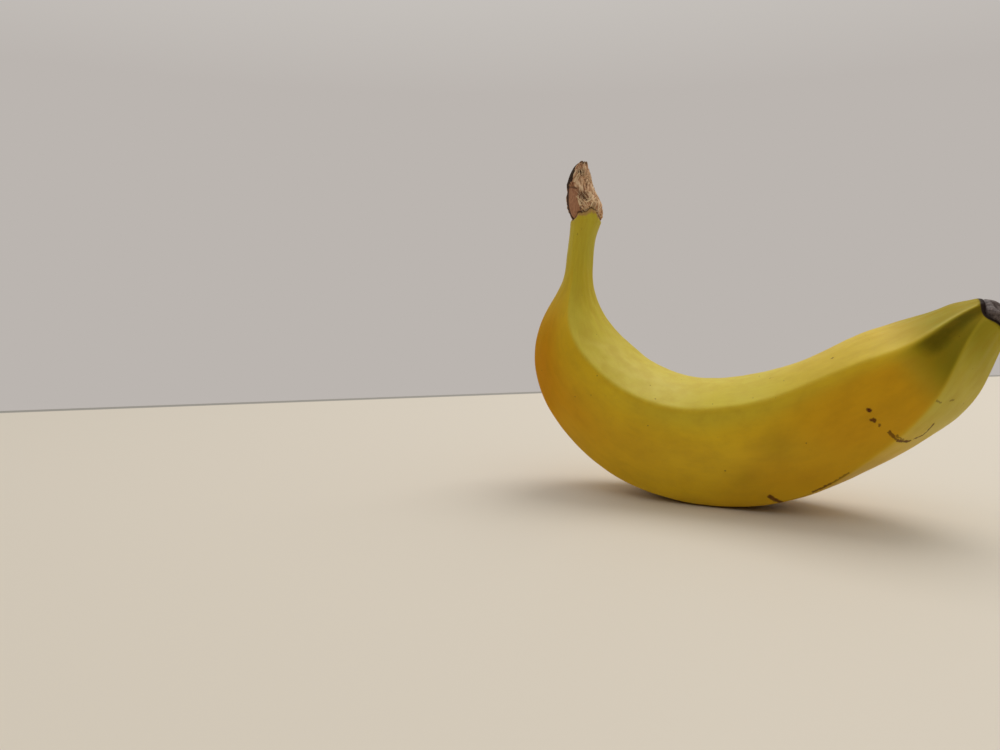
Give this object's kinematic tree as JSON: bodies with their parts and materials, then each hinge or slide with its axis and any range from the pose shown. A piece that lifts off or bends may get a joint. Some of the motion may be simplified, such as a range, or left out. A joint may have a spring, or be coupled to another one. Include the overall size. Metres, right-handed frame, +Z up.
{
  "type": "banana",
  "caption": "Whole ripe banana with a narrow neck, a torn dry stem end and a black blossom tip, standing on the outer side of its curve.",
  "frame": {"origin": "on the surface that the fruit stands on, under the middle of its box", "axes": "+X from the stem side to the blossom side, +Z up, +Y toward the back; the bend lies in the XZ plane and is open upward"},
  "size_m": [0.1266, 0.0356, 0.1019],
  "materials": {
    "peel": "satin, slightly waxy"
  },
  "bodies": {
    "root": {"banana": "peel"}
  },
  "joints": []
}
